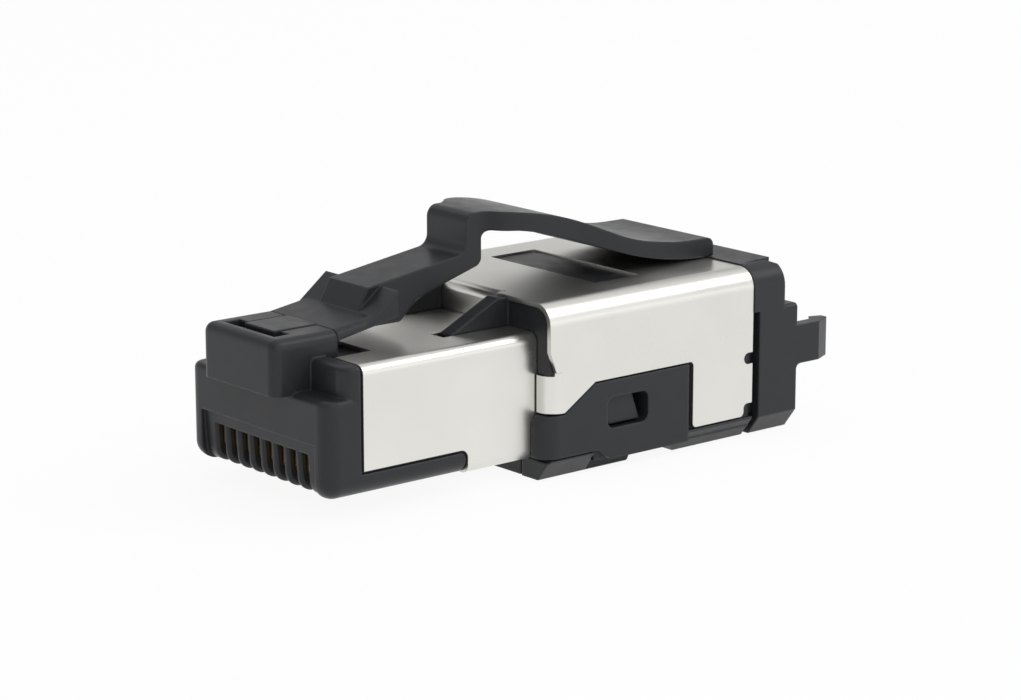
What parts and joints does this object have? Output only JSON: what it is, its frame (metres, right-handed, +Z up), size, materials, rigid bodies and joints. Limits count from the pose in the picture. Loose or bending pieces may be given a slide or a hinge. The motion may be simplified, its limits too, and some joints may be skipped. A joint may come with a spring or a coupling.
{
  "type": "field termination ethernet plug",
  "caption": "Shielded modular network plug for fitting to a cable in the field: dark plastic nose with recessed contacts, plated metal sleeves, an arched latch lever and a cable cap.",
  "frame": {"origin": "centre of the bounding box in plan, at the height of the foot that the plug rests on", "axes": "+Y along the plug from the nose to the cable's entry, +X to the right seen from the nose's front with the latch up, +Z up through the latch lever"},
  "size_m": [0.0142, 0.034, 0.0132],
  "materials": {
    "anthracite_plastic": "fine matt moulded",
    "plated_sheet": "satin plated",
    "gold_contact": "plated",
    "green_board": "lacquered",
    "tinned_blade": "tinned",
    "black_insulator": "matt",
    "clear_insulator": "natural",
    "spring_steel": "satin"
  },
  "bodies": {
    "root": {"nose_housing": "anthracite_plastic", "latch_lever": "anthracite_plastic", "body_housing": "anthracite_plastic", "bottom_cover": "anthracite_plastic", "rear_cap": "anthracite_plastic", "nose_shield": "plated_sheet", "rear_shell": "plated_sheet", "contact_1": "gold_contact", "contact_2": "gold_contact", "contact_3": "gold_contact", "contact_4": "gold_contact", "contact_5": "gold_contact", "contact_6": "gold_contact", "contact_7": "gold_contact", "contact_8": "gold_contact", "circuit_board": "green_board", "idc_terminal_1": "tinned_blade", "idc_terminal_2": "tinned_blade", "idc_terminal_3": "tinned_blade", "idc_terminal_4": "tinned_blade", "idc_terminal_5": "tinned_blade", "idc_terminal_6": "tinned_blade", "idc_terminal_7": "tinned_blade", "idc_terminal_8": "tinned_blade", "terminal_block": "black_insulator", "wire_organizer": "clear_insulator", "clamp_spring": "spring_steel"}
  },
  "joints": []
}
